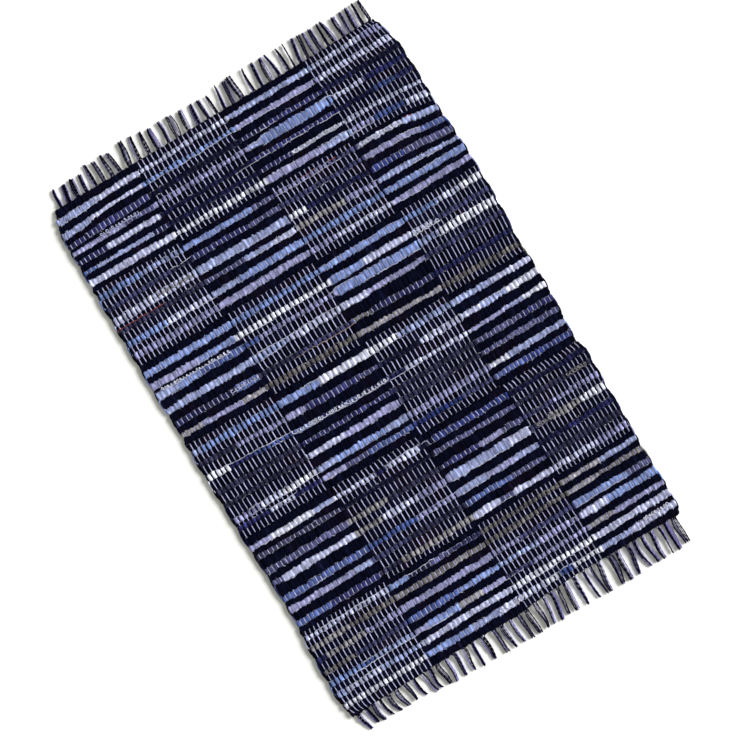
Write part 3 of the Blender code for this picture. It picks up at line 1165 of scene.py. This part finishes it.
def make_frays():
    """The threads that have worked loose along the rags' edges."""
    frays = [*FRAYS, *random_frays(RANDOM_FRAYS)]
    lines = np.array([fray_line(fray) for fray in frays])
    colours = toned([linear(fray.dye) for fray in frays], FRAY_RINGS, THREAD_TONE, knots=20)
    radius = FRAY_RADIUS * (1.0 + 0.45 * wander(len(lines), FRAY_RINGS, knots=30))[..., None]
    piece = tubes("stray_threads", lines, radius, radius, colours, LOOSE_THREAD, 3)
    return join_rug(piece)


def make_fibres():
    """Short frayed fibres that stick out of the coloured rags over the black ones beside them."""
    coloured = np.array([number for number, pick in enumerate(PICKS) if pick is not None])
    dyes = np.array([pick_colour(PICKS[number], SHARES) for number in coloured])
    row = CHANCE.integers(len(coloured), size=FIBRES)
    station = CHANCE.integers(2, STATIONS - 2, size=FIBRES)
    side = CHANCE.choice((-1.0, 1.0), size=FIBRES)
    pale = dyes[row, station].mean(-1)
    kept = CHANCE.uniform(0.0, 1.0, FIBRES) < np.clip(0.25 + 2.5 * pale, 0.0, 1.0)
    row = row[kept]
    station = station[kept]
    side = side[kept]
    number = coloured[row]
    edge = np.where(side > 0, LINES[number + 1, station], LINES[number, station])
    count = len(row)
    part = np.linspace(0.0, 1.0, FIBRE_RINGS)
    run = CHANCE.normal(0.0, FIBRE_RUN, count) * MM
    out = CHANCE.uniform(*FIBRE_OUT, count) * MM
    start_x = place_x(SHARES[station], edge) + CHANCE.uniform(-1.0, 1.0, count) * MM
    bend = CHANCE.uniform(*FIBRE_BEND, count) * MM
    x = start_x[:, None] + run[:, None] * part + bend[:, None] * np.sin(math.pi * part)
    y = edge[:, None] - side[:, None] * (out[:, None] * part - FIBRE_ROOT)
    arch = CHANCE.uniform(*FIBRE_ARCH, count)[:, None] * MM
    z = FIBRE_HEIGHT + arch * np.sin(math.pi * part ** 0.7)
    lines = np.stack([x, y, z], -1)
    mix = CHANCE.uniform(*FIBRE_WHITE, count)[:, None]
    colours = dyes[row, station] * (1.0 - mix) + linear("white") * mix * 0.9
    radius = CHANCE.uniform(*FIBRE_RADIUS, count)[:, None, None] * MM
    piece = tubes(
        "frayed_fibres", lines, radius, radius, colours[:, None, None, :], LOOSE_THREAD, 3
    )
    return join_rug(piece)


# Room, camera and lights


def make_floor():
    """A plain pale floor."""
    mesh = bpy.data.meshes.new("floor")
    signs = ((-1.0, -1.0), (1.0, -1.0), (1.0, 1.0), (-1.0, 1.0))
    corners = [(x * FLOOR_HALF, y * FLOOR_HALF, 0.0) for x, y in signs]
    mesh.from_pydata(corners, [], [(0, 1, 2, 3)])
    material = bpy.data.materials.new("pale_floor")
    material.use_nodes = True
    shader = material.node_tree.nodes["Principled BSDF"]
    shader.inputs["Base Color"].default_value = FLOOR_COLOUR
    shader.inputs["Roughness"].default_value = 0.9
    shader.inputs["Specular IOR Level"].default_value = 0.1
    mesh.materials.append(material)
    floor = new_object("floor", mesh)
    floor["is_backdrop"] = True
    return floor


def make_camera():
    """Straight above the rug, turned so that it lies across the picture."""
    camera = bpy.data.cameras.new("camera")
    camera.lens = LENS
    camera.sensor_width = SENSOR
    camera.clip_end = 100.0
    holder = new_object("camera", camera)
    holder.location = (*VIEW_CENTRE, VIEW_SPAN * LENS / SENSOR)
    holder.rotation_euler = (0.0, 0.0, VIEW_TURN)
    bpy.context.scene.camera = holder


def make_lights():
    """A soft key from low on the right, and an even fill from the whole room."""
    sun = bpy.data.lights.new("key", "SUN")
    sun.energy = KEY_ENERGY
    sun.angle = KEY_ANGLE
    key = new_object("key", sun)
    key.rotation_euler = (0.0, KEY_TILT, 0.0)
    world = bpy.data.worlds.new("room")
    bpy.context.scene.world = world
    world.use_nodes = True
    background = world.node_tree.nodes["Background"]
    background.inputs["Color"].default_value = FILL_COLOUR
    background.inputs["Strength"].default_value = FILL_STRENGTH
    bpy.context.scene.view_settings.view_transform = "Standard"


make_camera()
make_lights()
make_floor()
warp_pieces = make_warp()
denim_piece, black_piece = make_weft()
turn_piece = make_turns()
head_piece = make_fringe(HEAD)
foot_piece = make_fringe(FOOT)
stray_piece = make_frays()
curl_piece = make_curls()
fibre_piece = make_fibres()

boxes = {"cad": CAD_BOX, "visual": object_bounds()}
{key: [list(corner) for corner in box] for key, box in boxes.items()}
